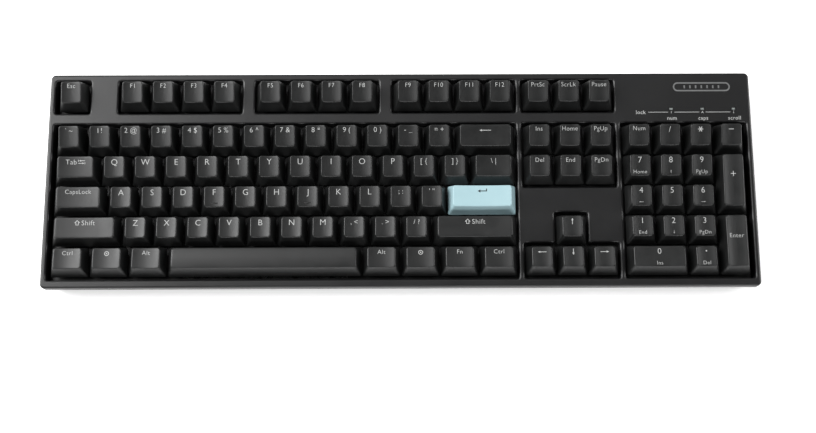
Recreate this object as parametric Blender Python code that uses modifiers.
"""Full-size mechanical keyboard: a two-part case, a steel switch plate, a circuit board, a bank of switch
housings, sprung keycaps, a stabiliser wire under the space bar, two flip-out feet and four rubber feet.

Run with: blender --background --python part.py

The world frame is in metres, +Z up. X runs along the keyboard, to its right, and Y towards its rear edge. The
origin is under the middle of the case, on the surface that the rubber feet stand on. Everything above the
lower case is placed in the deck frame: an empty on the top face of the switch plate, at the front edge of
the key grid, tilted by the typing angle. There x is along the keyboard, y up the slope and z square to the
plate. Moving pieces have their origins on their joint axes.
"""

import math

import bmesh
import bpy
from mathutils import Matrix, Vector

MM = 0.001
UNIT = 19.05 * MM  # key pitch
GAP = 0.3 * MM  # between pieces that rest on each other

# Case
CASE_WIDTH = 440 * MM
CASE_DEPTH = 138 * MM
TYPING_ANGLE = math.radians(4.2)
RUBBER_HEIGHT = 1.0 * MM  # how far the lower case stands off the table
DECK_Z = 11.0 * MM  # top face of the plate at the front edge of the key grid
WALL = 2.0 * MM
TUCK = 4.5 * MM  # how far the lower case's bottom stands in from the upper case's front
SIDE_LEAN = 0.22  # and how far each side leans in for every unit of its height
BOTTOM_ROUND = 2.6 * MM  # more than WALL, so that the inside stays sound
TRIM = 3.0 * MM  # the lower case is modelled this much too high, then cut off flat

# Heights in the deck frame
BEZEL_TOP = 8.0 * MM
BEZEL_BOTTOM = 0.5 * MM
TRAY_RIM = BEZEL_BOTTOM - GAP
PLATE_THICK = 1.5 * MM
BOARD_TOP = -5.0 * MM
BOARD_THICK = 1.6 * MM
SKIRT = 6.0 * MM  # bottom edge of a keycap at rest

# The deck's own plan
GRID_WIDTH = 22.5 * UNIT
GRID_DEPTH = 6.5 * UNIT
DECK_FRONT = -6.6 * MM
DECK_REAR = GRID_DEPTH + 5.7 * MM
CORNER_RADIUS = 3.0 * MM
TOP_ROUND = 1.2 * MM
OUTER_SIDE_ROOM = 2.2 * MM  # from the key grid to the bezel, at the keyboard's left and right ends
INNER_SIDE_ROOM = 0.7 * MM  # and at every other side of an opening
MAIN_ROOM = 1.6 * MM  # in front of the front row and behind the number row
FUNCTION_FRONT_ROOM = 0.8 * MM
FUNCTION_REAR_ROOM = 1.3 * MM
OPENING_CORNER = 1.2 * MM
SKIN = 2.2 * MM  # over the hollows of the upper case
STRIP_Y = 5.26 * UNIT  # middle of the strip behind the number row

# Lock lights
LIGHT_X = 21.2 * UNIT - GRID_WIDTH / 2
LIGHT_Y = 105.9 * MM
LIGHT_SPACING = 19.6 * MM
WINDOW_SIZE = (2.6 * MM, 1.8 * MM)

# Keycaps: distances in from a key's base to its top face
KEY_GAP = 0.95 * MM
CAP_WALL = 1.4 * MM
FOOT_TRIM = 1.0 * MM  # a cap is modelled this much too deep, then cut off flat
CAP_TOP_SIDE = 3.0 * MM
CAP_TOP_REAR = 1.35 * MM
CAP_TOP_FRONT = 2.65 * MM
STEM_SIDE = 5.6 * MM
STEM_BOTTOM = 1.6 * MM

# Switch housings
HOUSING_TOP = 6.6 * MM
HOUSING_LOWER = 13.4 * MM
HOUSING_FLANGE = 15.2 * MM
HOUSING_CROWN = 11.0 * MM
HOUSING_WELL = 6.4 * MM
CUTOUT = 14.0 * MM

# Space bar stabiliser wire
WIRE_RADIUS = 0.65 * MM
WIRE_HALF_SPAN = 50.0 * MM
WIRE_SETBACK = 8.6 * MM  # from the switch's centre line forward to the wire's pivot
WIRE_LIFT = 4.55 * MM  # how far the hooks rise above the pivot
WIRE_HOOK = 4.0 * MM
WIRE_PIVOT_Z = WIRE_RADIUS + GAP

# Flip-out feet, in the world frame
FOOT_X = 172 * MM
FOOT_AXIS_Y = 54 * MM
FOOT_AXIS_Z = 2.7 * MM
FOOT_WIDTH = 28 * MM
FOOT_LENGTH = 14 * MM
FOOT_THICK = 2.6 * MM
FOOT_PIN_RADIUS = 1.1 * MM
FOOT_PIN_LENGTH = 1.8 * MM
POCKET_DEPTH = 3.4 * MM

# Rubber feet
RUBBER_SIZE = (26 * MM, 10 * MM)
RUBBER_INSET = 0.7 * MM

# Case screw, in the world frame
SCREW_HEAD_RADIUS = 2.9 * MM
SCREW_RADIUS = 1.4 * MM
BOSS_RADIUS = 5.0 * MM
SCREW_REACH = 4.5 * MM  # above the plate, into the upper case

# Height of the key's rear and front top edges above its skirt, row by row from the rear
ROW_PROFILES = {
    "function": (11.9 * MM, 8.9 * MM),
    "number": (11.9 * MM, 8.9 * MM),
    "upper": (10.2 * MM, 8.2 * MM),
    "home": (9.2 * MM, 8.3 * MM),
    "lower": (8.7 * MM, 8.9 * MM),
    "bottom": (8.5 * MM, 9.3 * MM),
}

# Each row's distance from the front of the grid to its centre, in key units, and its keys from left to right:
# a name, name:width, name:width x height for a key that reaches into the row in front, or _gap.
ROWS = {
    "function": (
        6.0,
        "esc _1 f1 f2 f3 f4 _.5 f5 f6 f7 f8 _.5 f9 f10 f11 f12 _.25 print_screen scroll_lock pause",
    ),
    "number": (
        4.5,
        "grave 1 2 3 4 5 6 7 8 9 0 minus equals backspace:2 _.25 insert home page_up"
        " _.25 num_lock num_slash num_star num_minus",
    ),
    "upper": (
        3.5,
        "tab:1.5 q w e r t y u i o p bracket_left bracket_right backslash:1.5 _.25 delete end page_down"
        " _.25 num_7 num_8 num_9 num_plus:1x2",
    ),
    "home": (
        2.5,
        "caps_lock:1.75 a s d f g h j k l semicolon quote enter:2.25 _3.5 num_4 num_5 num_6",
    ),
    "lower": (
        1.5,
        "left_shift:2.25 z x c v b n m comma period slash right_shift:2.75 _1.25 up"
        " _1.25 num_1 num_2 num_3 num_enter:1x2",
    ),
    "bottom": (
        0.5,
        "left_ctrl:1.25 left_system:1.25 left_alt:1.25 space:6.25 right_alt:1.25 right_system:1.25 fn:1.25"
        " right_ctrl:1.25 _.25 left down right _.25 num_0:2 num_point",
    ),
}

# Keys that share one node, because a model holds at most 60 nodes. Every other key is a node of its own.
GROUPS = {
    "keycaps_f1_to_f4": "f1 f2 f3 f4",
    "keycaps_f5_to_f8": "f5 f6 f7 f8",
    "keycaps_f9_to_f12": "f9 f10 f11 f12",
    "keycaps_print_block": "print_screen scroll_lock pause",
    "keycaps_number_row": "grave 1 2 3 4 5 6 7 8 9 0 minus equals",
    "keycaps_punctuation": "bracket_left bracket_right backslash semicolon quote comma period slash",
    "keycaps_left_modifiers": "left_ctrl left_system left_alt",
    "keycaps_right_modifiers": "right_alt right_system fn right_ctrl",
    "keycaps_navigation": "insert home page_up delete end page_down",
    "keycaps_arrows": "up left down right",
    "keycaps_numpad": "num_lock num_slash num_star num_minus num_7 num_8 num_9 num_plus num_4 num_5 num_6"
    " num_1 num_2 num_3 num_enter num_0 num_point",
}

# Openings in the bezel, as the first and last key that each one frames
OPENINGS = (
    ("esc", "esc"),
    ("f1", "f4"),
    ("f5", "f8"),
    ("f9", "f12"),
    ("print_screen", "pause"),
    ("grave", "right_ctrl"),
    ("insert", "page_down"),
    ("left", "right"),
    ("num_lock", "num_enter"),
)
UP_KEY_OPENING = ("up", "down")

# Where the upper case is wide enough to be hollow: left, right, front and rear, in key units
HOLLOWS = ((1.25, 1.75, 5.62, 6.45), (18.65, 22.6, 5.3, 6.55), (15.4, 18.1, 2.2, 2.8))

FINISHES = {
    # name: (red, green, blue, roughness, metallic), colours linear
    "case_black_plastic": (0.028, 0.028, 0.029, 0.45, 0.0),
    "keycap_black_plastic": (0.035, 0.036, 0.036, 0.5, 0.0),
    "keycap_blue_plastic": (0.420, 0.700, 0.780, 0.5, 0.0),
    "switch_black_nylon": (0.020, 0.020, 0.020, 0.55, 0.0),
    "plate_painted_steel": (0.015, 0.015, 0.016, 0.5, 0.4),
    "board_green_laminate": (0.010, 0.060, 0.030, 0.4, 0.0),
    "bright_steel": (0.550, 0.550, 0.540, 0.3, 1.0),
    "black_rubber": (0.012, 0.012, 0.012, 0.85, 0.0),
    "clear_light_guide": (0.650, 0.680, 0.680, 0.2, 0.0),
}


class Key:
    """One key of the layout: its name, its row and its rectangle of the grid, in key units."""

    def __init__(self, name, row, left, width, centre, height):
        self.name = name
        self.row = row
        self.left, self.right = left, left + width
        self.rear = centre + 0.5
        self.front = self.rear - height

    @property
    def x(self):
        return (self.left + self.right) / 2 * UNIT - GRID_WIDTH / 2

    @property
    def y(self):
        return (self.front + self.rear) / 2 * UNIT

    @property
    def width(self):
        return (self.right - self.left) * UNIT - KEY_GAP

    @property
    def depth(self):
        return (self.rear - self.front) * UNIT - KEY_GAP


def read_layout():
    """The keys by name, read from ROWS."""
    keys = {}
    for row, (centre, line) in ROWS.items():
        left = 0.0
        for word in line.split():
            if word.startswith("_"):
                left += float(word[1:])
                continue
            name, _, size = word.partition(":")
            width, _, height = (size or "1").partition("x")
            keys[name] = Key(name, row, left, float(width), centre, float(height or 1))
            left += float(width)
    return keys


def clear_scene():
    for obj in list(bpy.data.objects):
        bpy.data.objects.remove(obj)


def new_collection(name):
    collection = bpy.data.collections.new(name)
    bpy.context.scene.collection.children.link(collection)
    return collection


def new_material(name):
    red, green, blue, roughness, metallic = FINISHES[name]
    material = bpy.data.materials.new(name)
    material.use_nodes = True
    shader = material.node_tree.nodes["Principled BSDF"]
    shader.inputs["Base Color"].default_value = (red, green, blue, 1)
    shader.inputs["Roughness"].default_value = roughness
    shader.inputs["Metallic"].default_value = metallic
    return material


def add_box(bm, size, centre):
    """Adds a box to bm and returns its vertices."""
    place = Matrix.Translation(centre) @ Matrix.Diagonal((*size, 1))
    return bmesh.ops.create_cube(bm, size=1, matrix=place)["verts"]


def add_cylinder(bm, radius, start, end, segments=16, end_radius=None):
    """Adds a cylinder or cone between two points of bm."""
    start, end = Vector(start), Vector(end)
    axis = end - start
    place = Matrix.Translation((start + end) / 2) @ axis.to_track_quat("Z", "Y").to_matrix().to_4x4()
    return bmesh.ops.create_cone(
        bm,
        cap_ends=True,
        segments=segments,
        radius1=radius,
        radius2=radius if end_radius is None else end_radius,
        depth=axis.length,
        matrix=place,
    )["verts"]


def add_square_frustum(bm, bottom_side, top_side, bottom, top, x, y):
    """Adds a four-sided frustum standing on z = bottom, with its sides along X and Y."""
    place = Matrix.Translation((x, y, (bottom + top) / 2)) @ Matrix.Rotation(math.pi / 4, 4, "Z")
    bmesh.ops.create_cone(
        bm,
        cap_ends=True,
        segments=4,
        radius1=bottom_side / math.sqrt(2),
        radius2=top_side / math.sqrt(2),
        depth=top - bottom,
        matrix=place,
    )


def edges_along(verts, axis):
    """The edges among verts that run mainly along one axis, 0 to 2."""
    edges = {edge for vert in verts for edge in vert.link_edges}
    found = []
    for edge in edges:
        run = edge.verts[1].co - edge.verts[0].co
        if abs(run[axis]) > 0.7 * run.length:
            found.append(edge)
    return found


def add_rounded_box(bm, size, centre, radius, segments):
    """Adds a box whose upright edges are rounded."""
    verts = add_box(bm, size, centre)
    upright = edges_along(verts, 2)
    bmesh.ops.bevel(bm, geom=upright, offset=radius, segments=segments, profile=0.5, affect="EDGES")


class Builder:
    """Makes the keyboard's objects and keeps the collections, materials and frames that they share."""

    def __init__(self):
        clear_scene()
        self.parts = new_collection("mechanical_keyboard")
        self.cutters = new_collection("cutters")
        self.materials = {name: new_material(name) for name in FINISHES}
        self.keys = read_layout()
        front_reach = -DECK_FRONT * math.cos(TYPING_ANGLE) + (BEZEL_TOP - TOP_ROUND) * math.sin(TYPING_ANGLE)
        self.deck = bpy.data.objects.new("deck", None)
        self.deck.location = (0, front_reach - CASE_DEPTH / 2, DECK_Z)
        self.deck.rotation_euler = (TYPING_ANGLE, 0, 0)
        self.parts.objects.link(self.deck)
        bpy.context.view_layer.update()

    def deck_to_world(self, x, y, z):
        return self.deck.matrix_world @ Vector((x, y, z))

    def add(self, name, bm, finish, parent=None, location=(0, 0, 0)):
        """Turns bm into a named part."""
        return self._link(name, bm, self.parts, parent, location, self.materials[finish])

    def cutter(self, name, bm, parent=None, location=(0, 0, 0)):
        """Turns bm into a hidden helper for a Boolean."""
        obj = self._link(name, bm, self.cutters, parent, location, None)
        obj.hide_render = True
        obj.display_type = "WIRE"
        return obj

    def _link(self, name, bm, collection, parent, location, material):
        mesh = bpy.data.meshes.new(name)
        bm.to_mesh(mesh)
        bm.free()
        mesh.shade_smooth()
        mesh.set_sharp_from_angle(angle=math.radians(35))
        if material:
            mesh.materials.append(material)
        obj = bpy.data.objects.new(name, mesh)
        collection.objects.link(obj)
        obj.parent = parent
        obj.location = location
        return obj


def boolean(obj, helper, operation):
    modifier = obj.modifiers.new(f"{operation.lower()} {helper.name}", "BOOLEAN")
    modifier.operation = operation
    modifier.object = helper
    modifier.solver = "EXACT"


# ---------------------------------------------------------------- case


def add_opening(bm, first, last, front_room, rear_room):
    """Adds the space of the opening that frames the keys from first, rear left, to last, front right."""
    left_room = OUTER_SIDE_ROOM if first.left == 0 else INNER_SIDE_ROOM
    right_room = OUTER_SIDE_ROOM if math.isclose(last.right * UNIT, GRID_WIDTH) else INNER_SIDE_ROOM
    left = first.left * UNIT - GRID_WIDTH / 2 - left_room
    right = last.right * UNIT - GRID_WIDTH / 2 + right_room
    front = last.front * UNIT - front_room
    rear = first.rear * UNIT + rear_room
    height = BEZEL_TOP - BEZEL_BOTTOM
    centre = ((left + right) / 2, (front + rear) / 2, BEZEL_BOTTOM + height / 2)
    add_rounded_box(bm, (right - left, rear - front, 2 * height), centre, OPENING_CORNER, 2)


def lock_light_places():
    """Where the three lock lights shine through the bezel, in the deck's plan."""
    return [(LIGHT_X + step * LIGHT_SPACING, LIGHT_Y) for step in (-1, 0, 1)]


def build_top_case(builder):
    """The upper case: a rounded slab with an opening for each block of keys, hollow where it is wide."""
    keys = builder.keys
    bm = bmesh.new()
    size = (CASE_WIDTH, DECK_REAR - DECK_FRONT, BEZEL_TOP - BEZEL_BOTTOM)
    centre_y = (DECK_FRONT + DECK_REAR) / 2
    centre = (0, centre_y, (BEZEL_TOP + BEZEL_BOTTOM) / 2)
    add_rounded_box(bm, size, centre, CORNER_RADIUS, 4)
    rim = [edge for edge in bm.edges if all(vert.co.z > BEZEL_TOP - GAP for vert in edge.verts)]
    bmesh.ops.bevel(bm, geom=rim, offset=TOP_ROUND, segments=2, profile=0.5, affect="EDGES")
    case = builder.add("top_case", bm, "case_black_plastic", builder.deck)

    bm = bmesh.new()
    for first, last in OPENINGS:
        if keys[first].row == "function":
            add_opening(bm, keys[first], keys[last], FUNCTION_FRONT_ROOM, FUNCTION_REAR_ROOM)
        else:
            add_opening(bm, keys[first], keys[last], MAIN_ROOM, MAIN_ROOM)
    boolean(case, builder.cutter("key_openings", bm, builder.deck), "DIFFERENCE")

    bm = bmesh.new()
    first, last = UP_KEY_OPENING
    add_opening(bm, keys[first], keys[last], -0.2 * UNIT, MAIN_ROOM)
    boolean(case, builder.cutter("up_key_opening", bm, builder.deck), "DIFFERENCE")

    bm = bmesh.new()
    top = BEZEL_TOP - SKIN
    for left, right, front, rear in HOLLOWS:
        width, depth = (right - left) * UNIT, (rear - front) * UNIT
        height = top - BEZEL_BOTTOM + 1 * MM
        middle = ((left + right) / 2 * UNIT - GRID_WIDTH / 2, (front + rear) / 2 * UNIT, top - height / 2)
        add_box(bm, (width, depth, height), middle)
    boolean(case, builder.cutter("case_hollows", bm, builder.deck), "DIFFERENCE")

    bm = bmesh.new()
    for x, y in lock_light_places():
        add_box(bm, (*WINDOW_SIZE, 4 * SKIN), (x, y, BEZEL_TOP))
    boolean(case, builder.cutter("light_windows", bm, builder.deck), "DIFFERENCE")

    screw = screw_place(builder)
    bm = bmesh.new()
    bore_top = (screw.x, screw.y, screw.z + SCREW_REACH + GAP)
    add_cylinder(bm, SCREW_RADIUS + GAP, tuple(screw), bore_top, 12)
    boolean(case, builder.cutter("screw_bore", bm), "DIFFERENCE")


def tray_corner(builder, side_x, side_y, side_z):
    """A corner of the lower case's outer form: its rim follows the deck, its bottom is level."""
    rim_y = DECK_REAR if side_y > 0 else DECK_FRONT
    rim = builder.deck_to_world(side_x * CASE_WIDTH / 2, rim_y, TRAY_RIM + TRIM)
    if side_z > 0:
        return rim
    lean = SIDE_LEAN * (rim.z - RUBBER_HEIGHT)
    y = CASE_DEPTH / 2 if side_y > 0 else TUCK - CASE_DEPTH / 2
    return Vector((rim.x - side_x * lean, y, RUBBER_HEIGHT))


def screw_place(builder):
    """The case screw stands in the gap behind the number row."""
    return builder.deck_to_world(0, STRIP_Y, 0)


def usb_centre(builder):
    """The middle of the socket, which hangs under the rear edge of the board."""
    return Vector((0, 121.2 * MM, BOARD_TOP - BOARD_THICK - GAP - 1.6 * MM))


def rubber_places():
    return {
        "front_left_rubber_foot": (-185 * MM, -54 * MM),
        "front_right_rubber_foot": (185 * MM, -54 * MM),
        "rear_left_rubber_foot": (-125 * MM, 54 * MM),
        "rear_right_rubber_foot": (125 * MM, 54 * MM),
    }


def build_bottom_case(builder):
    """The lower case: a tray with foot pockets, a screw boss and a recess for the cable's plug."""
    bm = bmesh.new()
    verts = add_box(bm, (1, 1, 1), (0, 0, 0))
    for vert in verts:
        vert.co = tray_corner(builder, *(math.copysign(1, value) for value in vert.co))
    upright = edges_along(verts, 2)
    bmesh.ops.bevel(bm, geom=upright, offset=CORNER_RADIUS, segments=3, profile=0.5, affect="EDGES")
    bottom = [edge for edge in bm.edges if all(vert.co.z < RUBBER_HEIGHT + GAP for vert in edge.verts)]
    bmesh.ops.bevel(bm, geom=bottom, offset=BOTTOM_ROUND, segments=2, profile=0.5, affect="EDGES")
    lid = max(bm.faces, key=lambda face: face.calc_center_median().z)
    bmesh.ops.delete(bm, geom=[lid], context="FACES_ONLY")
    case = builder.add("bottom_case", bm, "case_black_plastic")
    shell = case.modifiers.new("wall", "SOLIDIFY")
    shell.thickness = WALL
    shell.offset = -1
    shell.use_even_offset = True

    bm = bmesh.new()
    add_box(bm, (1.1 * CASE_WIDTH, 1.1 * CASE_DEPTH, 4 * TRIM), (0, CASE_DEPTH / 2, TRAY_RIM + 2 * TRIM))
    boolean(case, builder.cutter("rim_trim", bm, builder.deck), "DIFFERENCE")

    screw = screw_place(builder)
    floor = RUBBER_HEIGHT + WALL
    bm = bmesh.new()
    for side in (-1, 1):
        size = (FOOT_WIDTH + 9 * MM, FOOT_LENGTH + 9 * MM, POCKET_DEPTH + 2 * MM)
        centre = (side * FOOT_X, FOOT_AXIS_Y - FOOT_LENGTH / 2 + 1 * MM, floor - 1 * MM + size[2] / 2)
        add_box(bm, size, centre)
    boss_top = screw.z + BOARD_TOP - BOARD_THICK - 0.8 * MM
    add_cylinder(bm, BOSS_RADIUS, (screw.x, screw.y, floor - 1 * MM), (screw.x, screw.y, boss_top))
    boolean(case, builder.cutter("pocket_blocks", bm), "UNION")

    bm = bmesh.new()
    for side in (-1, 1):
        size = (FOOT_WIDTH + 1.0 * MM, FOOT_LENGTH + 4.4 * MM, 2 * POCKET_DEPTH)
        add_box(bm, size, (side * FOOT_X, FOOT_AXIS_Y - FOOT_LENGTH / 2 + 0.1 * MM, RUBBER_HEIGHT))
    for x, y in rubber_places().values():
        size = (RUBBER_SIZE[0] + 2 * GAP, RUBBER_SIZE[1] + 2 * GAP, 2 * (RUBBER_INSET + GAP))
        add_box(bm, size, (x, y, RUBBER_HEIGHT))
    add_cylinder(bm, SCREW_HEAD_RADIUS + GAP, (screw.x, screw.y, -WALL), (screw.x, screw.y, floor + 1 * MM))
    boolean(case, builder.cutter("underside_pockets", bm), "DIFFERENCE")

    bm = bmesh.new()
    add_cylinder(bm, SCREW_RADIUS + GAP, (screw.x, screw.y, 0), (screw.x, screw.y, screw.z))
    for side in (-1, 1):
        reach = FOOT_WIDTH / 2 + FOOT_PIN_LENGTH + GAP
        ends = [(side * FOOT_X + way * reach, FOOT_AXIS_Y, FOOT_AXIS_Z) for way in (-1, 1)]
        add_cylinder(bm, FOOT_PIN_RADIUS + GAP, *ends, segments=12)
    boolean(case, builder.cutter("bores", bm), "DIFFERENCE")

    bm = bmesh.new()
    centre = usb_centre(builder)
    add_rounded_box(bm, (12.6 * MM, 12 * MM, 7.2 * MM), (0, DECK_REAR, centre.z), 0.8 * MM, 2)
    boolean(case, builder.cutter("plug_recess", bm, builder.deck), "DIFFERENCE")


def build_rubber_feet(builder):
    for name, (x, y) in rubber_places().items():
        bm = bmesh.new()
        height = RUBBER_HEIGHT + RUBBER_INSET
        add_rounded_box(bm, (*RUBBER_SIZE, height), (0, 0, 0), 2.0 * MM, 3)
        builder.add(name, bm, "black_rubber", location=(x, y, height / 2))


def build_flip_feet(builder):
    """Each foot turns about a pin in its pocket's side walls, with its origin on that axis. It lies flat."""
    for name, side in (("left_flip_foot", -1), ("right_flip_foot", 1)):
        bm = bmesh.new()
        length = FOOT_LENGTH - FOOT_THICK / 2
        add_box(bm, (FOOT_WIDTH, length, FOOT_THICK), (0, -length / 2, 0))
        foot = builder.add(name, bm, "case_black_plastic", location=(side * FOOT_X, FOOT_AXIS_Y, FOOT_AXIS_Z))
        bm = bmesh.new()
        half = FOOT_WIDTH / 2
        add_cylinder(bm, FOOT_THICK / 2, (-half, 0, 0), (half, 0, 0))
        boolean(foot, builder.cutter(f"{name}_barrel", bm, location=foot.location), "UNION")
        bm = bmesh.new()
        reach = half + FOOT_PIN_LENGTH
        add_cylinder(bm, FOOT_PIN_RADIUS, (-reach, 0, 0), (reach, 0, 0), segments=12)
        boolean(foot, builder.cutter(f"{name}_pin", bm, location=foot.location), "UNION")
        bm = bmesh.new()
        add_box(bm, (FOOT_WIDTH * 0.5, 2 * MM, 1.2 * MM), (0, -length, -FOOT_THICK / 2))
        boolean(foot, builder.cutter(f"{name}_nail_notch", bm, location=foot.location), "DIFFERENCE")


def build_case_screw(builder):
    """One screw from below holds the tray to the plate."""
    screw = screw_place(builder)
    head_bottom = RUBBER_HEIGHT + 0.4 * MM
    head_top = head_bottom + 2.0 * MM
    bm = bmesh.new()
    add_cylinder(bm, SCREW_HEAD_RADIUS, (0, 0, head_bottom), (0, 0, head_top), 20)
    obj = builder.add("case_screw", bm, "bright_steel", location=(screw.x, screw.y, 0))
    bm = bmesh.new()
    add_cylinder(bm, SCREW_RADIUS, (0, 0, head_top - 0.5 * MM), (0, 0, screw.z + SCREW_REACH), 12)
    boolean(obj, builder.cutter("screw_shank", bm, location=obj.location), "UNION")
    long, short, deep = 3.2 * MM, 0.8 * MM, 2.0 * MM
    for name, size in (("driver_slot", (long, short, deep)), ("cross_slot", (short, long, deep))):
        bm = bmesh.new()
        add_box(bm, size, (0, 0, head_bottom))
        boolean(obj, builder.cutter(name, bm, location=obj.location), "DIFFERENCE")


# ---------------------------------------------------------------- electronics and switches


def build_plate(builder):
    """The steel plate that the switches clip into."""
    bm = bmesh.new()
    front, rear = -2.5 * MM, GRID_DEPTH + 2.2 * MM
    add_box(bm, (431 * MM, rear - front, PLATE_THICK), (0, (front + rear) / 2, -PLATE_THICK / 2))
    plate = builder.add("mounting_plate", bm, "plate_painted_steel", builder.deck)
    bm = bmesh.new()
    for key in builder.keys.values():
        add_box(bm, (CUTOUT, CUTOUT, 4 * PLATE_THICK), (key.x, key.y, 0))
    add_cylinder(bm, SCREW_RADIUS + 0.5 * MM, (0, STRIP_Y, -3 * PLATE_THICK), (0, STRIP_Y, PLATE_THICK), 12)
    boolean(plate, builder.cutter("switch_cutouts", bm, builder.deck), "DIFFERENCE")


def build_board(builder):
    """The circuit board, with its controller chip below."""
    bm = bmesh.new()
    front, rear = 0.6 * MM, GRID_DEPTH + 0.2 * MM
    middle = BOARD_TOP - BOARD_THICK / 2
    add_box(bm, (428 * MM, rear - front, BOARD_THICK), (0, (front + rear) / 2, middle))
    board = builder.add("circuit_board", bm, "board_green_laminate", builder.deck)
    bm = bmesh.new()
    under = BOARD_TOP - BOARD_THICK
    add_box(bm, (10 * MM, 10 * MM, 1.2 * MM), (30 * MM, STRIP_Y, under - 0.5 * MM))
    add_box(bm, (14 * MM, 6 * MM, 1.6 * MM), (-26 * MM, STRIP_Y, under - 0.7 * MM))
    boolean(board, builder.cutter("chips", bm, builder.deck), "UNION")
    bm = bmesh.new()
    add_cylinder(bm, SCREW_RADIUS + 1.0 * MM, (0, STRIP_Y, 3 * under), (0, STRIP_Y, 0), 12)
    boolean(board, builder.cutter("board_bore", bm, builder.deck), "DIFFERENCE")


def build_usb_port(builder):
    """The metal socket that a detachable cable plugs into."""
    centre = usb_centre(builder)
    bm = bmesh.new()
    verts = add_box(bm, (9.0 * MM, 7.3 * MM, 3.2 * MM), (0, 0, 0))
    bmesh.ops.bevel(bm, geom=edges_along(verts, 1), offset=1.2 * MM, segments=3, profile=0.5, affect="EDGES")
    port = builder.add("usb_port", bm, "bright_steel", builder.deck, centre)
    bm = bmesh.new()
    verts = add_box(bm, (8.4 * MM, 6.4 * MM, 2.6 * MM), (0, 1.6 * MM, 0))
    bmesh.ops.bevel(bm, geom=edges_along(verts, 1), offset=0.95 * MM, segments=3, profile=0.5, affect="EDGES")
    boolean(port, builder.cutter("socket_mouth", bm, builder.deck, centre), "DIFFERENCE")
    bm = bmesh.new()
    add_box(bm, (6.7 * MM, 6.0 * MM, 0.7 * MM), (0, -0.4 * MM, 0))
    boolean(port, builder.cutter("socket_tongue", bm, builder.deck, centre), "UNION")


def build_light_bar(builder):
    """One clear moulding carries the light of three lamps to the windows in the bezel."""
    places = lock_light_places()
    left, right = places[0][0], places[-1][0]
    y = places[0][1]
    top = BEZEL_TOP - SKIN - GAP
    bm = bmesh.new()
    add_box(bm, (right - left + 6 * MM, 4 * MM, 1.6 * MM), ((left + right) / 2, y, top - 0.8 * MM))
    bar = builder.add("lock_light_bar", bm, "clear_light_guide", builder.deck)
    bm = bmesh.new()
    for x, _ in places:
        height = BEZEL_TOP - 0.2 * MM - top + 0.8 * MM
        add_box(bm, (2.0 * MM, 1.2 * MM, height), (x, y, BEZEL_TOP - 0.2 * MM - height / 2))
    boolean(bar, builder.cutter("light_lenses", bm, builder.deck), "UNION")


def build_switch_housings(builder):
    """All the switch housings, standing on one thin seating sheet on the board."""
    sheet_bottom = BOARD_TOP + GAP
    sheet_thick = 0.5 * MM
    front, rear = 2.0 * MM, GRID_DEPTH - 2.0 * MM
    bm = bmesh.new()
    size = (424 * MM, rear - front, sheet_thick)
    add_box(bm, size, (0, (front + rear) / 2, sheet_bottom + sheet_thick / 2))
    bank = builder.add("switch_housings", bm, "switch_black_nylon", builder.deck)

    lower, upper, wells = bmesh.new(), bmesh.new(), bmesh.new()
    lower_bottom = sheet_bottom + sheet_thick / 2
    lower_top = 2 * GAP
    well_bottom = -3.2 * MM
    for key in builder.keys.values():
        size = (HOUSING_LOWER, HOUSING_LOWER, lower_top - lower_bottom)
        add_box(lower, size, (key.x, key.y, (lower_top + lower_bottom) / 2))
        add_square_frustum(upper, HOUSING_FLANGE, HOUSING_CROWN, GAP, HOUSING_TOP, key.x, key.y)
        size = (HOUSING_WELL, HOUSING_WELL, HOUSING_TOP - well_bottom + 1 * MM)
        add_box(wells, size, (key.x, key.y, well_bottom + size[2] / 2))
    add_cylinder(wells, SCREW_RADIUS + 1.0 * MM, (0, STRIP_Y, 2 * BOARD_TOP), (0, STRIP_Y, 0), 12)
    boolean(bank, builder.cutter("lower_housings", lower, builder.deck), "UNION")
    boolean(bank, builder.cutter("upper_housings", upper, builder.deck), "UNION")
    boolean(bank, builder.cutter("stem_wells", wells, builder.deck), "DIFFERENCE")


# ---------------------------------------------------------------- keycaps


def cap_heights(key):
    """The rear and front heights of a key's top face above its skirt."""
    rear, front = ROW_PROFILES[key.row]
    if key.rear - key.front > 1.5:  # a tall key spans two rows
        rows = list(ROW_PROFILES)
        _, front = ROW_PROFILES[rows[rows.index(key.row) + 1]]
    return rear, front


def add_cap_shell(bm, key, origin):
    """Adds a keycap's outer form, open below: a tapered box with a sloping top and too deep a foot."""
    rear_height, front_height = cap_heights(key)
    centre = Vector((key.x, key.y, SKIRT)) - origin
    verts = add_box(bm, (key.width, key.depth, 1 * MM), (0, 0, 0))
    for vert in verts:
        side_x, side_y, side_z = (math.copysign(1, value) for value in vert.co)
        skirt = Vector((side_x * key.width / 2, side_y * key.depth / 2, 0))
        height = rear_height if side_y > 0 else front_height
        inward = CAP_TOP_REAR if side_y > 0 else CAP_TOP_FRONT
        rise = Vector((-side_x * CAP_TOP_SIDE, -side_y * inward, height))
        vert.co = centre + skirt + rise * (1 if side_z > 0 else -FOOT_TRIM / height)
    faces = {face for vert in verts for face in vert.link_faces}
    floor = min(faces, key=lambda face: face.calc_center_median().z)
    bmesh.ops.delete(bm, geom=[floor], context="FACES_ONLY")


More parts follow.
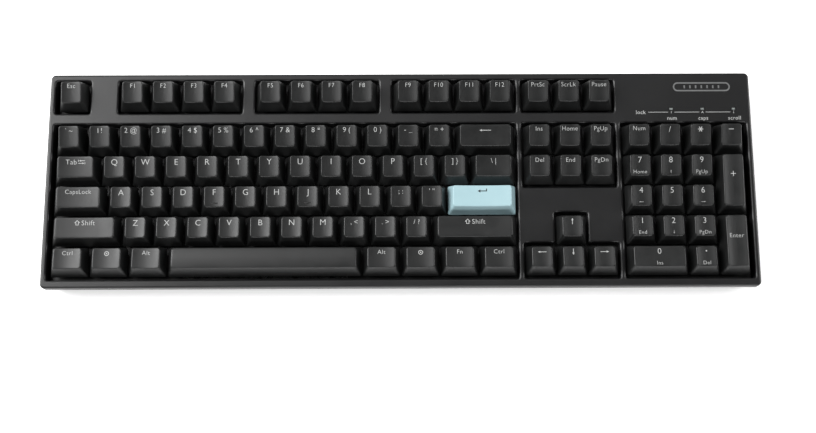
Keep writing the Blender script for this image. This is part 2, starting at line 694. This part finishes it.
def bridge(bm, a, b, origin):
    """Joins the skirts of two neighbouring keys of one group with a small bar, if they touch along a side."""
    thick, reach, width = 1.2 * MM, 1.1 * MM, 4.0 * MM
    z = SKIRT + 0.2 * MM + thick / 2
    span = KEY_GAP + 2 * reach
    overlap_x = min(a.right, b.right) - max(a.left, b.left)
    overlap_y = min(a.rear, b.rear) - max(a.front, b.front)
    if abs(a.right - b.left) < 0.01 and overlap_y > 0.4:
        y = (min(a.rear, b.rear) + max(a.front, b.front)) / 2 * UNIT
        add_box(bm, (span, width, thick), Vector((a.right * UNIT - GRID_WIDTH / 2, y, z)) - origin)
    elif abs(a.front - b.rear) < 0.01 and overlap_x > 0.4:
        x = (min(a.right, b.right) + max(a.left, b.left)) / 2 * UNIT - GRID_WIDTH / 2
        add_box(bm, (width, span, thick), Vector((x, a.front * UNIT, z)) - origin)


def add_stem(bm, key, origin):
    """Adds the switch stem that carries the cap, running from inside the cap's roof into its housing."""
    roof = SKIRT + min(cap_heights(key)) - CAP_WALL / 2
    size = (STEM_SIDE, STEM_SIDE, roof - STEM_BOTTOM)
    add_box(bm, size, Vector((key.x, key.y, (roof + STEM_BOTTOM) / 2)) - origin)


def build_keycaps(builder, name, members, finish):
    """One node of one or more keycaps with their stems, whose origin is on the first key's press axis."""
    keys = [builder.keys[member] for member in members]
    origin = Vector((keys[0].x, keys[0].y, 0))
    shells, feet, extras = bmesh.new(), bmesh.new(), bmesh.new()
    for key in keys:
        add_cap_shell(shells, key, origin)
        size = (key.width + KEY_GAP * 0.8, key.depth + KEY_GAP * 0.8, 4 * FOOT_TRIM)
        add_box(feet, size, Vector((key.x, key.y, SKIRT - 2 * FOOT_TRIM)) - origin)
        add_stem(extras, key, origin)
    for a in keys:
        for b in keys:
            bridge(extras, a, b, origin)
    if name == "keycap_space":
        add_wire_pads(extras, keys[0], origin)
    obj = builder.add(name, shells, finish, builder.deck, origin)
    shell = obj.modifiers.new("wall", "SOLIDIFY")
    shell.thickness = CAP_WALL
    shell.offset = -1
    shell.use_even_offset = True
    boolean(obj, builder.cutter(f"{name}_foot_trim", feet, builder.deck, origin), "DIFFERENCE")
    boolean(obj, builder.cutter(f"{name}_stems", extras, builder.deck, origin), "UNION")


def add_wire_pads(bm, key, origin):
    """Adds the two pads inside the space bar that bear on the ends of the stabiliser wire."""
    bottom = WIRE_PIVOT_Z + WIRE_LIFT + WIRE_RADIUS + 0.45 * MM
    roof = SKIRT + min(cap_heights(key)) - CAP_WALL / 2
    for side in (-1, 1):
        x = key.x + side * (WIRE_HALF_SPAN - WIRE_HOOK / 2)
        add_box(bm, (6 * MM, 5 * MM, roof - bottom), Vector((x, key.y, (roof + bottom) / 2)) - origin)


def build_space_bar_wire(builder):
    """The bent wire that keeps the space bar level. It turns about its long run, which lies on the plate."""
    key = builder.keys["space"]
    half, hook = WIRE_HALF_SPAN, WIRE_HALF_SPAN - WIRE_HOOK
    route = [
        (-hook, WIRE_SETBACK, WIRE_LIFT),
        (-half, WIRE_SETBACK, WIRE_LIFT),
        (-half, 0, 0),
        (half, 0, 0),
        (half, WIRE_SETBACK, WIRE_LIFT),
        (hook, WIRE_SETBACK, WIRE_LIFT),
    ]
    curve = bpy.data.curves.new("space_bar_wire", "CURVE")
    curve.dimensions = "3D"
    curve.bevel_depth = WIRE_RADIUS
    curve.bevel_resolution = 2
    curve.use_fill_caps = True
    spline = curve.splines.new("POLY")
    spline.points.add(len(route) - 1)
    for point, place in zip(spline.points, route):
        point.co = (*place, 1)
    curve.materials.append(builder.materials["bright_steel"])
    wire = bpy.data.objects.new("space_bar_wire", curve)
    builder.parts.objects.link(wire)
    wire.parent = builder.deck
    wire.location = (key.x, key.y - WIRE_SETBACK, WIRE_PIVOT_Z)


def build_all_keycaps(builder):
    """The main Enter key is pale blue, and every other key is black."""
    grouped = set()
    for group, line in GROUPS.items():
        members = line.split()
        grouped.update(members)
        build_keycaps(builder, group, members, "keycap_black_plastic")
    for name in builder.keys:
        if name not in grouped:
            finish = "keycap_blue_plastic" if name == "enter" else "keycap_black_plastic"
            build_keycaps(builder, f"keycap_{name}", [name], finish)


def main():
    builder = Builder()
    build_top_case(builder)
    build_bottom_case(builder)
    build_rubber_feet(builder)
    build_flip_feet(builder)
    build_case_screw(builder)
    build_plate(builder)
    build_board(builder)
    build_usb_port(builder)
    build_light_bar(builder)
    build_switch_housings(builder)
    build_all_keycaps(builder)
    build_space_bar_wire(builder)


main()
